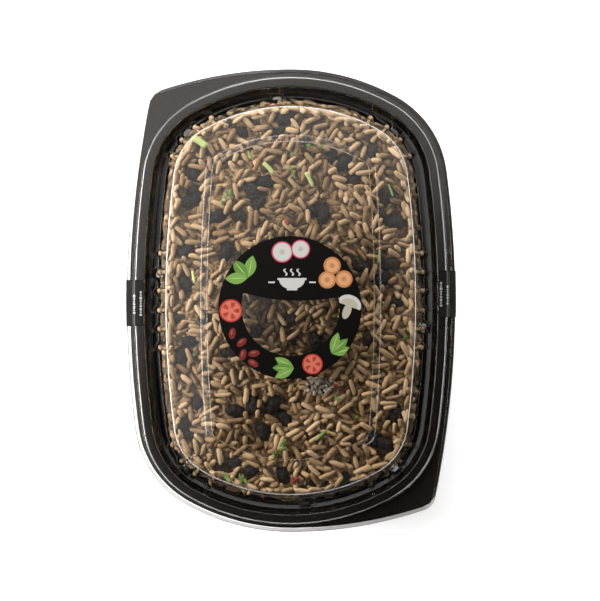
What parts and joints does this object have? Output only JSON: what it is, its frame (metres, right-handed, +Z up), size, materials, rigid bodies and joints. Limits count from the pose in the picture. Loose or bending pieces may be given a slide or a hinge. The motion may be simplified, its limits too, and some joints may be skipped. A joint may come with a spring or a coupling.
{
  "type": "packed ready meal of rice and black beans",
  "caption": "Shut meal pack: black thermoformed tray with two diagonal pull-tab corners, clear domed lid, heap of rice and black beans inside, round label and side seal strips.",
  "frame": {"origin": "middle of the bounding box, on the table plane under the tray", "axes": "+Z up through the lid, +Y along the tray's length towards the end whose left corner has a pull tab, +X towards the long side on the right of that end"},
  "size_m": [0.1682, 0.2352, 0.0535],
  "materials": {
    "tray_plastic": "glossy black thermoformed sheet",
    "lid_plastic": "clear glossy thermoformed sheet",
    "food": "moist cooked rice tinted brown by the beans, stands in for food",
    "label_print": "satin printed film",
    "seal_film": "satin film"
  },
  "bodies": {
    "root": {"tray": "tray_plastic", "lid": "lid_plastic", "rice_and_beans": "food", "label": "label_print", "seal_left": "seal_film", "seal_right": "seal_film"}
  },
  "joints": []
}
